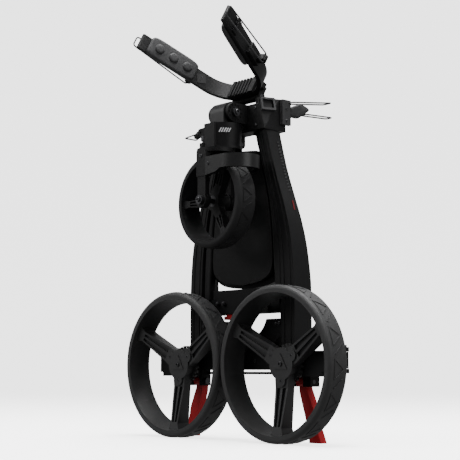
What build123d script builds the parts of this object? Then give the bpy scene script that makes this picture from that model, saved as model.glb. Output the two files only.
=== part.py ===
"""Folding three-wheel golf push cart, in its folded pose.

The flat pack stands upright on its two rear wheels and its two brake pedals.  Millimetres, +Z up.
X runs across the cart and X = 0 is its middle plane.  In the numbers below Y = 0 is the front face
of the rear wheels, and save() moves every piece back so that the whole cart is centred on Y = 0.
"""

from build123d import *
from math import atan2, cos, degrees, pi, radians, sin
import os

os.makedirs("parts", exist_ok=True)

# ---------------------------------------------------------------- driving dimensions
UPPER_TIP_Y = -106.6  # foremost point: the arm tips of the upper cradle
LOWER_BAIL_TIP_Y = 228.0  # rearmost point: the strap bails of the lower cradle
SHIFT_Y = -(UPPER_TIP_Y + LOWER_BAIL_TIP_Y) / 2

RUN = 0.05  # radial clearance of a shaft that turns in a bore
SLIP = 0.3  # radial clearance of a bolt or a loose pin

# rear wheels
REAR_R = 145.0
REAR_WIDTH = 47.0
REAR_X = REAR_R + 2.0
REAR_SEAT_R = 136.0  # where the tyre sits on the rim
REAR_SPOKE_ANGLES = (-90, 30, 150)

# front wheel, which lies flat against the frame
FRONT_R = 91.0
FRONT_WIDTH = 46.0
FRONT_Y = -6.0  # middle of the wheel, on the swivel axis
FRONT_Z = 459.0
FRONT_SEAT_R = 83.0
FRONT_SPOKE_ANGLES = (180, 60, -60)

# frame
FRAME_Y0, FRAME_Y1 = 57.0, 103.0
RAIL_FOOT_Z, RAIL_TOP_Z = 169.0, 600.0
BEAM_HALF = 222.0
BEAM_Z0, BEAM_Z1 = 134.0, RAIL_FOOT_Z
SWING_X, SWING_Y = 248.0, 80.0  # upright hinge of a rear wheel arm
MAST_Y, MAST_Z = 80.0, 256.0  # hinge of the mast
ELBOW_Y, ELBOW_Z = 17.7, 635.0  # fold hinge of the front fork
HANDLE_Y, HANDLE_Z = 88.0, 588.0  # hinge of the handle
TILT_Y, TILT_Z = 80.0, 676.0  # hinge of the upper cradle
PEDAL_X, PEDAL_Y, PEDAL_Z = 147.0, 80.0, 112.0  # hinge of a brake pedal

# upper cradle: a U in a plane that slopes up towards the front
CRADLE_SLOPE = 29.0
CRADLE_Y, CRADLE_Z = 70.0, 697.0


# ---------------------------------------------------------------- helpers
def block(x0, x1, y0, y1, z0, z1):
    """A box between two corners."""
    return Pos((x0 + x1) / 2, (y0 + y1) / 2, (z0 + z1) / 2) * Box(x1 - x0, y1 - y0, z1 - z0)


def rod_x(x0, x1, y, z, r):
    """A round bar along X."""
    return Pos((x0 + x1) / 2, y, z) * Rot(0, 90, 0) * Cylinder(r, x1 - x0)


def rod_y(x, y0, y1, z, r):
    """A round bar along Y."""
    return Pos(x, (y0 + y1) / 2, z) * Rot(90, 0, 0) * Cylinder(r, y1 - y0)


def rod_z(x, y, z0, z1, r):
    """A round bar along Z."""
    return Pos(x, y, (z0 + z1) / 2) * Cylinder(r, z1 - z0)


def front_plate(outline, y0, y1):
    """An outline drawn in X and Z, thick from y0 to y1."""
    return Pos(0, y1, 0) * extrude(Plane.XZ * make_face(outline), y1 - y0)


def side_plate(outline, x0, x1):
    """An outline drawn in Y and Z, thick from x0 to x1."""
    return Pos(x0, 0, 0) * extrude(Plane.YZ * make_face(outline), x1 - x0)


def loop(points):
    """A closed outline through straight runs."""
    return Polyline(*points, close=True)


def turned_y(x, z, profile):
    """A ring about an axis along Y; the profile is a list of (radius, y)."""
    face = Plane.XY * make_face(loop(profile))
    return Pos(x, 0, z) * revolve(face, Axis.Y)


def mirrored(solid):
    """The same piece on the other side of the cart."""
    return mirror(solid, about=Plane.YZ)


def save(name, *solids):
    """Writes one node; several solids make one group."""
    moved = [Pos(0, SHIFT_Y, 0) * solid for solid in solids]
    export_step(moved[0] if len(moved) == 1 else Compound(moved), f"parts/{name}.step")


def save_pair(name, *solids):
    """Writes a right-hand piece and its left-hand mirror image."""
    save(f"{name}_right", *solids)
    save(f"{name}_left", *[mirrored(s) for s in solids])


def save_both(name, *solids):
    """Writes a piece and its mirror image as one group, for pairs fixed to the same body."""
    save(name, *solids, *[mirrored(s) for s in solids])


def edge_line(points):
    """A smooth edge through (x, z) points."""
    return Spline(*points)


# ---------------------------------------------------------------- wheels
def spoke(root_r, tip_r, root_w, tip_w, y0, y1, lean, angle):
    """A tapered spoke with two channels; its front leans forwards to meet the rim."""
    outline = loop(
        [(root_r, -root_w / 2), (tip_r - 14, -tip_w / 2), (tip_r, -tip_w * 0.75),
         (tip_r, tip_w * 0.75), (tip_r - 14, tip_w / 2), (root_r, root_w / 2)]
    )
    lead = loop([(root_r, y0), (root_r + 25, y0), (tip_r, y0 - lean), (tip_r, y1), (root_r, y1)])
    wedge = extrude(Plane.XY * make_face(lead), root_w, both=True)
    arm = front_plate(outline, y0 - lean, y1) & wedge
    channel = loop(
        [(root_r + 25, root_w * 0.08), (root_r + 25, root_w * 0.33),
         (tip_r - 16, tip_w * 0.33), (tip_r - 16, tip_w * 0.08)]
    )
    cut = front_plate(channel, y0 - lean - 1, y1) - Pos(0, 5, 0) * wedge
    arm -= cut
    arm -= mirror(cut, about=Plane.XY)
    return Rot(0, -angle, 0) * arm


def wheel(x, z, y0, width, seat_r, lip_r, back_r, hub_r, bore_r, angles, spoke_y, widths, lean):
    """Rim, hub and spokes as one moulding, with pockets for two bearings."""
    y1 = y0 + width
    rim = turned_y(
        0, 0, [(lip_r, y0 + 1), (seat_r, y0 + 1), (seat_r, y1 - 1), (back_r, y1 - 1)]
    )
    hub = rod_y(0, spoke_y[0], y1 - 1, 0, hub_r)
    body = rim + hub
    for angle in angles:
        body += spoke(hub_r - 8, lip_r - 0.5, *widths, *spoke_y, lean, angle)
    body -= rod_y(0, spoke_y[0] - 1, y1 + 1, 0, bore_r)
    return Pos(x, 0, z) * body


def tyre(x, z, y0, width, outer_r, seat_r, lip_r):
    """A foam tyre with rounded shoulders and a thin lip over each rim edge."""
    y1 = y0 + width
    ring = turned_y(
        x, z,
        [(seat_r, y0 + 1), (lip_r, y0 + 1), (lip_r, y0), (outer_r, y0), (outer_r, y1),
         (seat_r - 6, y1), (seat_r - 6, y1 - 1), (seat_r, y1 - 1)],
    )
    shoulders = [
        e for e in ring.edges().filter_by(GeomType.CIRCLE)
        if abs(e.radius - outer_r) < 0.01
    ]
    return fillet(shoulders, 7.0)


REAR_Z = REAR_R
HUB_BEARING_R = 14.0
REAR_AXLE_R = 6.0
REAR_LIP_R, REAR_BACK_R = 131.0, 124.0
REAR_SPOKE_Y = (25.0, 42.0)
BEARING_WIDTH = 8.0


def lobed_cap(x, z, y0, y1, lobe_r, lobe_at, waist_r, angles):
    """A three-lobed hub cover with a raised triangle and a small bolt in each lobe."""
    cap = rod_y(0, y0, y1, 0, waist_r)
    for angle in angles:
        cap += Rot(0, -angle, 0) * rod_y(lobe_at, y0, y1, 0, lobe_r)
    for angle in angles:
        cap -= Rot(0, -angle, 0) * rod_y(lobe_at, y0 - 1, y0 + 1.5, 0, 3.2)
    corners = [
        (lobe_at * 0.62 * cos(radians(a + 60)), lobe_at * 0.62 * sin(radians(a + 60))) for a in angles
    ]
    cap += front_plate(loop(corners), y0 - 1.5, y0)
    return Pos(x, 0, z) * cap


def bearing(x, z, y0, y1, outer_r, shaft_r):
    """A sealed bearing, drawn as a ring with a shallow groove in each face."""
    ring = rod_y(x, y0, y1, z, outer_r) - rod_y(x, y0 - 1, y1 + 1, z, shaft_r + RUN)
    mid = (outer_r + shaft_r) / 2
    for y in (y0, y1):
        ring -= rod_y(x, y - 0.8, y + 0.8, z, mid + 1.5) - rod_y(x, y - 1, y + 1, z, mid - 1.5)
    return ring


def toothed_ring(x, z, y0, y1, inner_r, root_r, tip_r, teeth):
    """A ring with square teeth that the brake bolt drops between."""
    ring = rod_y(0, y0, y1, 0, tip_r) - rod_y(0, y0 - 1, y1 + 1, 0, inner_r)
    half = pi * tip_r / teeth / 2
    for n in range(teeth):
        notch = block(root_r, tip_r + 2, y0 - 1, y1 + 1, -half, half)
        ring -= Rot(0, 360 * n / teeth, 0) * notch
    return Pos(x, 0, z) * ring


REAR_BACK = REAR_WIDTH - 1.0  # back face of the hub
save_pair("rear_tyre", tyre(REAR_X, REAR_Z, 0, REAR_WIDTH, REAR_R, REAR_SEAT_R, REAR_LIP_R))
rear_wheel = wheel(
    REAR_X, REAR_Z, 0, REAR_WIDTH, REAR_SEAT_R, REAR_LIP_R, REAR_BACK_R, 27.0,
    REAR_AXLE_R + 1.0, REAR_SPOKE_ANGLES, REAR_SPOKE_Y, (36, 21), 15.0,
)
rear_wheel += toothed_ring(REAR_X, REAR_Z, REAR_SPOKE_Y[1], REAR_BACK, 26.0, 33.0, 38.0, 24)
for pocket in ((REAR_SPOKE_Y[0], REAR_SPOKE_Y[0] + BEARING_WIDTH), (REAR_BACK - BEARING_WIDTH, REAR_BACK)):
    rear_wheel -= rod_y(REAR_X, *pocket, REAR_Z, HUB_BEARING_R)
save("rear_wheel_right", rear_wheel)
save("rear_wheel_left", mirrored(rear_wheel))
rear_bearings = [
    bearing(REAR_X, REAR_Z, y, y + BEARING_WIDTH, HUB_BEARING_R, REAR_AXLE_R)
    for y in (REAR_SPOKE_Y[0], REAR_BACK - BEARING_WIDTH)
]
save_pair("rear_bearings", *rear_bearings)
rear_cap = lobed_cap(REAR_X, REAR_Z, 22.5, REAR_SPOKE_Y[0], 11.0, 31.0, 30.0, REAR_SPOKE_ANGLES)
save_pair("rear_hub_cap", rear_cap)


# ---------------------------------------------------------------- rear wheel arms
ARM_Y0, ARM_Y1 = 47.5, 56.3
ARM_Z0, ARM_Z1 = 122.0, 166.0
BARREL_R = 11.0
EAR_T = 8.0
BRACKET_X0 = BEAM_HALF
PIN_R = 5.0


def wheel_arm():
    """Plate behind the hub, carried round to an upright hinge barrel at the end of the beam."""
    hub_plate = rod_y(REAR_X, ARM_Y0, ARM_Y1, REAR_Z, 24.0)
    plate = block(REAR_X - 8, SWING_X - 14, ARM_Y0, ARM_Y1, ARM_Z0 + 8, ARM_Z1 - 6)
    plan = loop(
        [(SWING_X - 32, ARM_Y0 + 2), (SWING_X - 14, ARM_Y0), (SWING_X + 9, SWING_Y - 6),
         (SWING_X + 9, SWING_Y), (SWING_X - 9, SWING_Y), (SWING_X - 19, ARM_Y1)]
    )
    web = Pos(0, 0, 137.0) * extrude(Plane.XY * make_face(plan), 26.0)
    barrel = rod_z(SWING_X, SWING_Y, 136.5, 166.5, BARREL_R)
    ribs = block(REAR_X + 30, SWING_X - 22, ARM_Y0, ARM_Y1, ARM_Z0, ARM_Z0 + 8)
    arm = hub_plate + plate + web + barrel + ribs
    arm -= rod_z(SWING_X, SWING_Y, 130, 170, PIN_R + RUN)
    arm -= rod_y(REAR_X, ARM_Y0 - 1, ARM_Y1 + 1, REAR_Z, REAR_AXLE_R)
    return arm


def hinge_bracket():
    """End plate of the beam with an ear above and below the barrel."""
    bracket = block(BRACKET_X0, BRACKET_X0 + 5, FRAME_Y0 + 2, FRAME_Y1, 126.0, 180.0)
    for z0 in (136.0 - EAR_T, 167.0):
        ear = block(BRACKET_X0, SWING_X, SWING_Y - 12, SWING_Y + 12, z0, z0 + EAR_T)
        bracket += ear + rod_z(SWING_X, SWING_Y, z0, z0 + EAR_T, 12.0)
    bracket -= rod_z(SWING_X, SWING_Y, 120, 185, PIN_R)
    return bracket


save_pair("wheel_arm", wheel_arm())
save_both("hinge_brackets", hinge_bracket())
swing_pin = rod_z(SWING_X, SWING_Y, 128.0, 175.0, PIN_R) + rod_z(SWING_X, SWING_Y, 175.0, 179.0, 8.0)
save_both("swing_pins", swing_pin)
rear_axle = rod_y(REAR_X, REAR_SPOKE_Y[0], ARM_Y1, REAR_Z, REAR_AXLE_R)
save_pair("rear_axle", rear_axle)


# ---------------------------------------------------------------- frame
RAIL_OUTER = [(149, 169), (150, 235), (149, 301), (146.5, 340), (141.5, 380), (133, 418),
              (121, 457), (107, 496), (97, 526), (87, 560), (76, 600)]
RAIL_INNER = [(115, 169), (115, 235), (114.5, 301), (113, 340), (109, 380), (102, 418),
              (94, 457), (83, 496), (75, 526), (65, 560), (57, 600)]
RAIL_BACK = [(169, 103), (300, 103), (380, 98), (457, 93), (526, 92), (600, 93)]
WALL = 2.5


def rail_shell(inset):
    """The side rail's outline from the front, with a back that draws in towards the top."""
    left = edge_line([(x + inset, z) for x, z in RAIL_INNER])
    right = edge_line([(x - inset, z) for x, z in RAIL_OUTER])
    ends = Line(left @ 1, right @ 1) + Line(left @ 0, right @ 0)
    body = front_plate(left + right + ends, FRAME_Y0 + inset, FRAME_Y1)
    front = FRAME_Y0 - 1
    back = [(y - inset, z) for z, y in RAIL_BACK]
    return body & side_plate(loop([(front, RAIL_TOP_Z), (front, RAIL_FOOT_Z), *back]), 40, 160)


def rail():
    """A broad hollow side rail, open at both ends."""
    return rail_shell(0) - rail_shell(WALL)


save_pair("side_rail", rail())

beam = block(-BEAM_HALF, BEAM_HALF, FRAME_Y0 + 2, FRAME_Y1 - 1, BEAM_Z0, BEAM_Z1)
beam -= block(-BEAM_HALF - 1, BEAM_HALF + 1, FRAME_Y0 + 5, FRAME_Y1 - 4, BEAM_Z0 + 3, BEAM_Z1 - 3)
save("axle_beam", beam)


def rear_bow():
    """U-shaped casting that ties the rails together and carries the mast hinge."""
    outline = loop([(-114.5, 169.5), (114.5, 169.5), (114.5, 231), (-114.5, 231)])
    body = front_plate(outline, FRAME_Y0 + 1, FRAME_Y1 - 3)
    mouth = block(-75, 75, 0, 120, 195, 330)
    body -= fillet(mouth.edges().filter_by(Axis.Y).group_by(Axis.Z)[0], 52)
    for side in (-1, 1):
        corner = front_plate(loop([(side * 116, 168), (side * 116, 202), (side * 70, 168)]), 50, 110)
        body -= corner
    for side in (-1, 1):
        x0, x1 = sorted((side * 103.0, side * 114.5))
        ear = block(x0, x1, MAST_Y - 14, MAST_Y + 14, 231, MAST_Z) + rod_x(x0, x1, MAST_Y, MAST_Z, 14)
        body += ear
    body -= rod_x(-120, 120, MAST_Y, MAST_Z, 5.0)
    return body


save("rear_bow", rear_bow())


# ---------------------------------------------------------------- nose, elbow and stem
NOSE_Y0, NOSE_Y1 = 52.0, 64.0
NOSE_FOOT, NOSE_TOP = (76.0, 600.5), (60.0, 655.0)
EAR_X0, EAR_X1 = 20.6, 28.6
EAR_R = 19.5
ELBOW_X, ELBOW_R = 20.0, 22.7
STEM_Y, STEM_R = 13.0, 36.0
STEM_Z0, STEM_Z1 = 562.0, 612.5
SWIVEL_Y = FRONT_Y
STEERER_R, BUSH_R = 9.0, 12.0


def nose_box():
    """Cross casting at the top of the rails, with two ears for the elbow."""
    body = front_plate(
        loop([(-NOSE_FOOT[0], NOSE_FOOT[1]), NOSE_FOOT, NOSE_TOP, (-NOSE_TOP[0], NOSE_TOP[1])]),
        NOSE_Y0, NOSE_Y1,
    )
    body = fillet(body.faces().sort_by(Axis.Y)[0].edges(), 2.5)
    for side in (-1, 1):
        x0, x1 = sorted((side * EAR_X0, side * EAR_X1))
        ear = block(x0, x1, ELBOW_Y, NOSE_Y0 + 3, ELBOW_Z - EAR_R, ELBOW_Z + EAR_R)
        ear += rod_x(x0, x1, ELBOW_Y, ELBOW_Z, EAR_R)
        for n in range(12):  # click ring moulded round the pivot
            a = radians(30 * n)
            y, z = ELBOW_Y + 15.5 * cos(a), ELBOW_Z + 15.5 * sin(a)
            ear -= Pos(side * EAR_X1, 0, 0) * rod_x(-1, 1, y, z, 2.2)
        body += ear
    body -= rod_x(-30, 30, ELBOW_Y, ELBOW_Z, 5.0)
    return body


save("nose_box", nose_box())
elbow_pin = rod_x(-31, 31, ELBOW_Y, ELBOW_Z, 5.0)
for x0, x1 in ((-34.5, -28.6), (28.6, 34.5)):
    elbow_pin += rod_x(x0, x1, ELBOW_Y, ELBOW_Z, 8.0)
save("elbow_pin", elbow_pin)

elbow = rod_x(-ELBOW_X, ELBOW_X, ELBOW_Y, ELBOW_Z, ELBOW_R)
elbow += block(-ELBOW_X, ELBOW_X, ELBOW_Y - ELBOW_R, ELBOW_Y + ELBOW_R, STEM_Z1, ELBOW_Z)
elbow -= block(-50, 50, -50, 50, 590, STEM_Z1)
elbow -= rod_x(-ELBOW_X - 1, ELBOW_X + 1, ELBOW_Y, ELBOW_Z, 5.0 + RUN)
save("elbow", elbow)


def stem_housing():
    """Drum under the elbow that holds the swivel bushes, with a collar and a plunger lug."""
    drum = Pos(0, STEM_Y, (STEM_Z0 + STEM_Z1) / 2) * Cone(STEM_R - 1.5, STEM_R, STEM_Z1 - STEM_Z0)
    front_rib = block(-15, 15, STEM_Y - STEM_R - 1.5, STEM_Y, STEM_Z0, STEM_Z1)
    collar = rod_z(0, STEM_Y, STEM_Z0, STEM_Z0 + 6, STEM_R + 1.2)
    lug = rod_z(LUG_X, LUG_Y, STEM_Z0, STEM_Z0 + 13, LUG_R)
    body = drum + front_rib + collar + lug
    body -= rod_z(0, SWIVEL_Y, STEM_Z0 - 1, STEM_Z1 - 4, BUSH_R)
    body -= rod_z(LUG_X, LUG_Y, STEM_Z0 - 1, STEM_Z0 + 30, PLUNGER_R + SLIP)
    body -= rod_z(LUG_X, LUG_Y, STEM_Z0 + 14, STEM_Z0 + 34, 7.2)
    return body


LUG_X, LUG_Y, LUG_R = -20.0, -20.0, 9.0
PLUNGER_R = 4.0
save("stem_housing", stem_housing())
bushes = [
    rod_z(0, SWIVEL_Y, z, z + 12, BUSH_R) - rod_z(0, SWIVEL_Y, z - 1, z + 13, STEERER_R + RUN)
    for z in (STEM_Z0, STEM_Z1 - 16.5)
]
save("swivel_bushes", *bushes)
plunger = rod_z(LUG_X, LUG_Y, STEM_Z0 + 0.5, STEM_Z0 + 22, PLUNGER_R)
plunger += rod_z(LUG_X, LUG_Y, STEM_Z0 + 18, STEM_Z0 + 27, 6.5)
save("swivel_plunger", plunger)

# clamp lever on the left flank of the drum, with its D-shaped wire bail
LEVER_X, LEVER_Y, LEVER_Z = -48.0, 2.0, 604.0
lever_base = block(-41, -30, LEVER_Y - 9, LEVER_Y + 9, 592, 611)
lever_base -= rod_z(0, STEM_Y, 580, 620, STEM_R + 0.2)
lever_base += rod_y(LEVER_X, LEVER_Y - 9, LEVER_Y - 5, LEVER_Z, 6.5)
lever_base += rod_y(LEVER_X, LEVER_Y + 5, LEVER_Y + 9, LEVER_Z, 6.5)
lever_base += block(LEVER_X, -38, LEVER_Y - 9, LEVER_Y - 5, LEVER_Z - 6.5, LEVER_Z + 6.5)
lever_base += block(LEVER_X, -38, LEVER_Y + 5, LEVER_Y + 9, LEVER_Z - 6.5, LEVER_Z + 6.5)
lever_base += rod_y(LEVER_X, LEVER_Y - 10.5, LEVER_Y + 10.5, LEVER_Z, 2.5)
save("lever_base", lever_base)
lever = rod_y(LEVER_X, LEVER_Y - 4.5, LEVER_Y + 4.5, LEVER_Z, 6.0)
lever += front_plate(
    loop([(LEVER_X, 599), (LEVER_X, 609), (-62, 607), (-72, 600), (-70, 594), (-60, 597.5)]),
    LEVER_Y - 4.5, LEVER_Y + 4.5,
)
lever -= rod_y(LEVER_X, LEVER_Y - 6, LEVER_Y + 6, LEVER_Z, 2.5 + RUN)
BAIL_X, BAIL_Z, BAIL_R = -57.0, 601.5, 1.4
lever -= rod_y(BAIL_X, LEVER_Y - 6, LEVER_Y + 6, BAIL_Z, BAIL_R + RUN)
save("clamp_lever", lever)


def wire_loop(corners, radius, thickness):
    """A closed wire bent through corners, each with the same radius."""
    path = FilletPolyline(*corners, radius=radius, close=True)
    section = Plane(origin=path @ 0, z_dir=path % 0) * Circle(thickness)
    return sweep(section, path=path)


bail_corners = [
    (BAIL_X, LEVER_Y - 8, BAIL_Z), (-87, LEVER_Y - 15, 596),
    (-87, LEVER_Y + 15, 596), (BAIL_X, LEVER_Y + 8, BAIL_Z),
]
save("clamp_bail", wire_loop(bail_corners, 2.8, BAIL_R))


# ---------------------------------------------------------------- front fork and wheel
FRONT_Y0, FRONT_Y1 = FRONT_Y - FRONT_WIDTH / 2, FRONT_Y + FRONT_WIDTH / 2
CROWN_Z0, CROWN_Z1 = 553.0, 561.5
LEG_X = 11.5
LEG_F, LEG_B = (-44.0, -34.0), (22.0, 32.0)
AXLE_R = 5.0


def fork():
    """Two legs under a round crown plate, with the swivel shaft standing on it."""
    body = rod_z(0, SWIVEL_Y, CROWN_Z0, CROWN_Z1, 38.0)
    body += rod_z(0, SWIVEL_Y, CROWN_Z1, STEM_Z1 - 5, STEERER_R)
    for y0, y1 in (LEG_F, LEG_B):
        body += block(-LEG_X, LEG_X, y0, y1, FRONT_Z, CROWN_Z0 + 4)
        body += rod_y(0, y0 - 1.5, y1 + 1.5, FRONT_Z, 15.0)
        body += block(-LEG_X - 2, LEG_X + 2, y0 - 1.5, y1 + 1.0, 505, CROWN_Z0 + 2)
    body -= rod_y(0, -60, 50, FRONT_Z, AXLE_R)
    return body


save("fork", fork())

GUARD_X, GUARD_R = 58.0, 43.5  # centre and radius of the rounded end of the mudguard, in plan
GUARD_Z0, GUARD_Z1 = 515.0, 541.0


def guard_plan(grow, left):
    """Plan outline of the mudguard hoop: straight sides and a round right-hand end."""
    radius = GUARD_R + grow
    end = Pos(GUARD_X, SWIVEL_Y + 2.5) * Circle(radius)
    return end + Pos((left + GUARD_X) / 2, SWIVEL_Y + 2.5) * Rectangle(GUARD_X - left, 2 * radius)


def mudguard():
    """Hoop round the upper right of the tyre, fixed to both fork legs by shield-shaped ends."""
    body = Pos(0, 0, GUARD_Z0) * extrude(guard_plan(0, LEG_X + 2.5), GUARD_Z1 - GUARD_Z0)
    body -= Pos(0, 0, GUARD_Z0 - 1) * extrude(guard_plan(-11, -40), GUARD_Z1 - GUARD_Z0 + 2)
    body -= rod_y(0, -32, 21, FRONT_Z, FRONT_R + 3)
    shield_y0 = SWIVEL_Y + 2.5 - GUARD_R
    shield = front_plate(
        loop([(LEG_X + 2.5, 505), (LEG_X + 2.5, 541), (58, 541), (58, 516), (44, 509)]),
        shield_y0, shield_y0 + 10,
    )
    shield -= front_plate(loop([(20, 515), (20, 535), (40, 535)]), shield_y0 - 1, shield_y0 + 6)
    return body + shield


save("mudguard", mudguard())

axle = rod_y(0, LEG_F[0] - 1.5, LEG_B[1] + 1.5, FRONT_Z, AXLE_R)
axle += rod_y(0, LEG_F[0] - 7, LEG_F[0] - 1.5, FRONT_Z, 9.0)
axle += rod_y(0, LEG_B[1] + 1.5, LEG_B[1] + 6, FRONT_Z, 9.0)
save("front_axle", axle)
FRONT_LIP_R = 78.5
save("front_tyre", tyre(0, FRONT_Z, FRONT_Y0, FRONT_WIDTH, FRONT_R, FRONT_SEAT_R, FRONT_LIP_R))
FRONT_SPOKE_Y = (FRONT_Y0 + 13, FRONT_Y0 + 30)
front_wheel = wheel(
    0, FRONT_Z, FRONT_Y0, FRONT_WIDTH, FRONT_SEAT_R, FRONT_LIP_R, 74.0, 18.0,
    AXLE_R + 1.0, FRONT_SPOKE_ANGLES, FRONT_SPOKE_Y, (22, 12), 6.0,
)
FRONT_BEARING_R = 11.0
front_pockets = (FRONT_SPOKE_Y[0], FRONT_Y1 - 1 - BEARING_WIDTH)
for y in front_pockets:
    front_wheel -= rod_y(0, y, y + BEARING_WIDTH, FRONT_Z, FRONT_BEARING_R)
save("front_wheel", front_wheel)
save("front_bearings", *[
    bearing(0, FRONT_Z, y, y + BEARING_WIDTH, FRONT_BEARING_R, AXLE_R) for y in front_pockets
])


# ---------------------------------------------------------------- mast
TUBE_INNER = [(94, 275), (93, 301), (90, 340), (88, 380), (85, 418), (79, 457), (70.5, 496),
              (61.5, 526), (50, 560), (41, 592)]
TUBE_OUTER = [(111, 275), (111, 301), (109.5, 340), (106, 380), (99, 418), (91, 457), (80, 496),
              (72, 526), (62, 560), (54, 592)]
TUBE_Y0, TUBE_Y1 = 60.0, 77.0
MAST_PIN_R = 5.0


def plate_between(inner, outer, y0, y1):
    """A plate whose two long edges are smooth curves through (x, z) points."""
    left, right = edge_line(inner), edge_line(outer)
    return front_plate(left + right + Line(left @ 1, right @ 1) + Line(left @ 0, right @ 0), y0, y1)


tube = plate_between(TUBE_INNER, TUBE_OUTER, TUBE_Y0, TUBE_Y1)
long_edges = [e for e in tube.edges() if e.length > 250]
save_both("mast_tubes", fillet(long_edges, 4.0))

foot = rod_x(-102, 102, MAST_Y, MAST_Z, 13.5)
foot += block(-102, 102, MAST_Y - 15, MAST_Y + 14, MAST_Z, 275)
foot += block(-73, 73, 62, 97, 244, 275)
foot += block(-86, 86, 64, 78, 275, 292)
foot -= rod_x(-105, 105, MAST_Y, MAST_Z, MAST_PIN_R + RUN)
TAB_X = -40.0
foot -= block(TAB_X - 8, TAB_X + 8, 64, 72, 240, 250)
save("mast_foot", foot)
save("mast_pin", rod_x(-114.5, 114.5, MAST_Y, MAST_Z, MAST_PIN_R))
save("foot_bolts", *[rod_y(x, 57.5, 62, 265, 4.5) for x in (-69, -51, 51, 69)])
tab = block(TAB_X - 8 + SLIP, TAB_X + 8 - SLIP, 64 + SLIP, 72 - SLIP, 240, 246)
tab += block(TAB_X - 11, TAB_X + 11, 61, 75, 233, 240)
save("release_tab", tab)

HEAD_X, HEAD_Z = 39.5, 652.0
LUG_X0, LUG_X1 = 30.0, 39.5
head = block(-HEAD_X, HEAD_X, 66, 97, 604, HEAD_Z)
for side in (-1, 1):
    x0, x1 = sorted((side * 41.0, side * 54.0))
    head += block(x0, x1, TUBE_Y0, TUBE_Y1, 592, 600)
    x0, x1 = sorted((side * 30.0, side * 54.0))
    head += block(x0, x1, 66, TUBE_Y1, 596, 606)
    x0, x1 = sorted((side * 27.0, side * HEAD_X))
    head += block(x0, x1, HANDLE_Y - 9, HANDLE_Y + 9, HANDLE_Z, 606)
    head += rod_x(x0, x1, HANDLE_Y, HANDLE_Z, 9.0)
    x0, x1 = sorted((side * LUG_X0, side * LUG_X1))
    head += block(x0, x1, TILT_Y - 8, TILT_Y + 8, 640, TILT_Z) + rod_x(x0, x1, TILT_Y, TILT_Z, 8.5)
PIVOT_R = 4.0
head -= rod_x(-60, 60, HANDLE_Y, HANDLE_Z, PIVOT_R)
head -= rod_x(-60, 60, TILT_Y, TILT_Z, PIVOT_R)
save("mast_head", head)
save("tilt_pin", rod_x(-LUG_X1, LUG_X1, TILT_Y, TILT_Z, PIVOT_R))
save_both("handle_pins", rod_x(27, 56, HANDLE_Y, HANDLE_Z, PIVOT_R))


# ---------------------------------------------------------------- handle, folded down the mast
HOOP_Y0, HOOP_Y1 = 79.0, 93.0
HOOP_OUTER = [(54, 588), (63, 560), (73, 526), (82, 496), (92, 457), (99, 418), (104.5, 380),
              (106, 345), (92, 314), (55, 298), (0, 292)]
HOOP_INNER = [(42, 588), (50, 560), (60, 526), (69, 496), (78.5, 457), (85.5, 418), (90.5, 380),
              (91, 350), (80, 326), (50, 312), (0, 306)]
PANEL = [(44, 562), (57.5, 526), (67, 496), (75.5, 457), (81.5, 418), (84.5, 380), (86, 345),
         (82, 326), (55, 308), (0, 300)]


def half_plate(right, y0, y1):
    """A plate symmetric about X = 0 whose right edge is a smooth curve ending on X = 0."""
    side = edge_line(right)
    other = mirror(side, about=Plane.YZ)
    return front_plate(side + other + Line(side @ 0, other @ 0), y0, y1)


hoop = half_plate(HOOP_OUTER, HOOP_Y0, HOOP_Y1) - half_plate(HOOP_INNER, HOOP_Y0 - 1, HOOP_Y1 + 1)
hoop += block(-62, 62, HOOP_Y0, HOOP_Y1 - 3, 520, 538)
hoop += block(-93, 93, HOOP_Y0, HOOP_Y1 - 3, 352, 368)
for side in (-1, 1):
    x0, x1 = sorted((side * 41.0, side * 54.0))
    hoop += rod_x(x0, x1, HANDLE_Y, HANDLE_Z, 9.0)
hoop -= rod_x(-60, 60, HANDLE_Y, HANDLE_Z, PIVOT_R + RUN)
save("handle_hoop", hoop)

panel = half_plate(PANEL, 62, HOOP_Y0)
brow = Pos(0, 108, 0) * Cylinder(66, 28)
brow = Pos(0, 0, 549) * (brow & block(-45, 45, 30, 62, -13.5, 13))
save("console_panel", panel + brow)


# ---------------------------------------------------------------- upper cradle
UP = radians(CRADLE_SLOPE)
CRADLE = Plane(origin=(0, CRADLE_Y, CRADLE_Z), x_dir=(1, 0, 0), z_dir=(0, -sin(UP), -cos(UP)))
BAND = 4.5  # half thickness of the arms
ARM_HALF_WIDTH = 17.0
ARM_ROOT, ARM_TIP = Vector(87.3, 66), Vector(126.5, 188)
ARM_DIR = (ARM_TIP - ARM_ROOT).normalized()
ARM_ANGLE = degrees(atan2(ARM_DIR.Y, ARM_DIR.X))
KNEE_X, KNEE_Y, KNEE_R = 63.5, -8.0, 70.0  # where an arm would meet the base if it had no bend


def on_arm(along, out, piece):
    """Puts a piece on the right arm: its X runs towards the tip and its -Y points outwards."""
    spot = ARM_ROOT + ARM_DIR * along
    return CRADLE.location * Pos(spot.X, spot.Y, 0) * Rot(0, 0, ARM_ANGLE) * Pos(0, -out, 0) * piece


arm_line = FilletPolyline(
    (-ARM_TIP.X, ARM_TIP.Y), (-KNEE_X, KNEE_Y), (KNEE_X, KNEE_Y), (ARM_TIP.X, ARM_TIP.Y), radius=KNEE_R
)
band = make_face(arm_line.offset_2d(BAND, side=Side.BOTH, closed=True))
yoke = CRADLE.location * extrude(band, ARM_HALF_WIDTH, both=True)
save("cradle_yoke", yoke)

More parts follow.
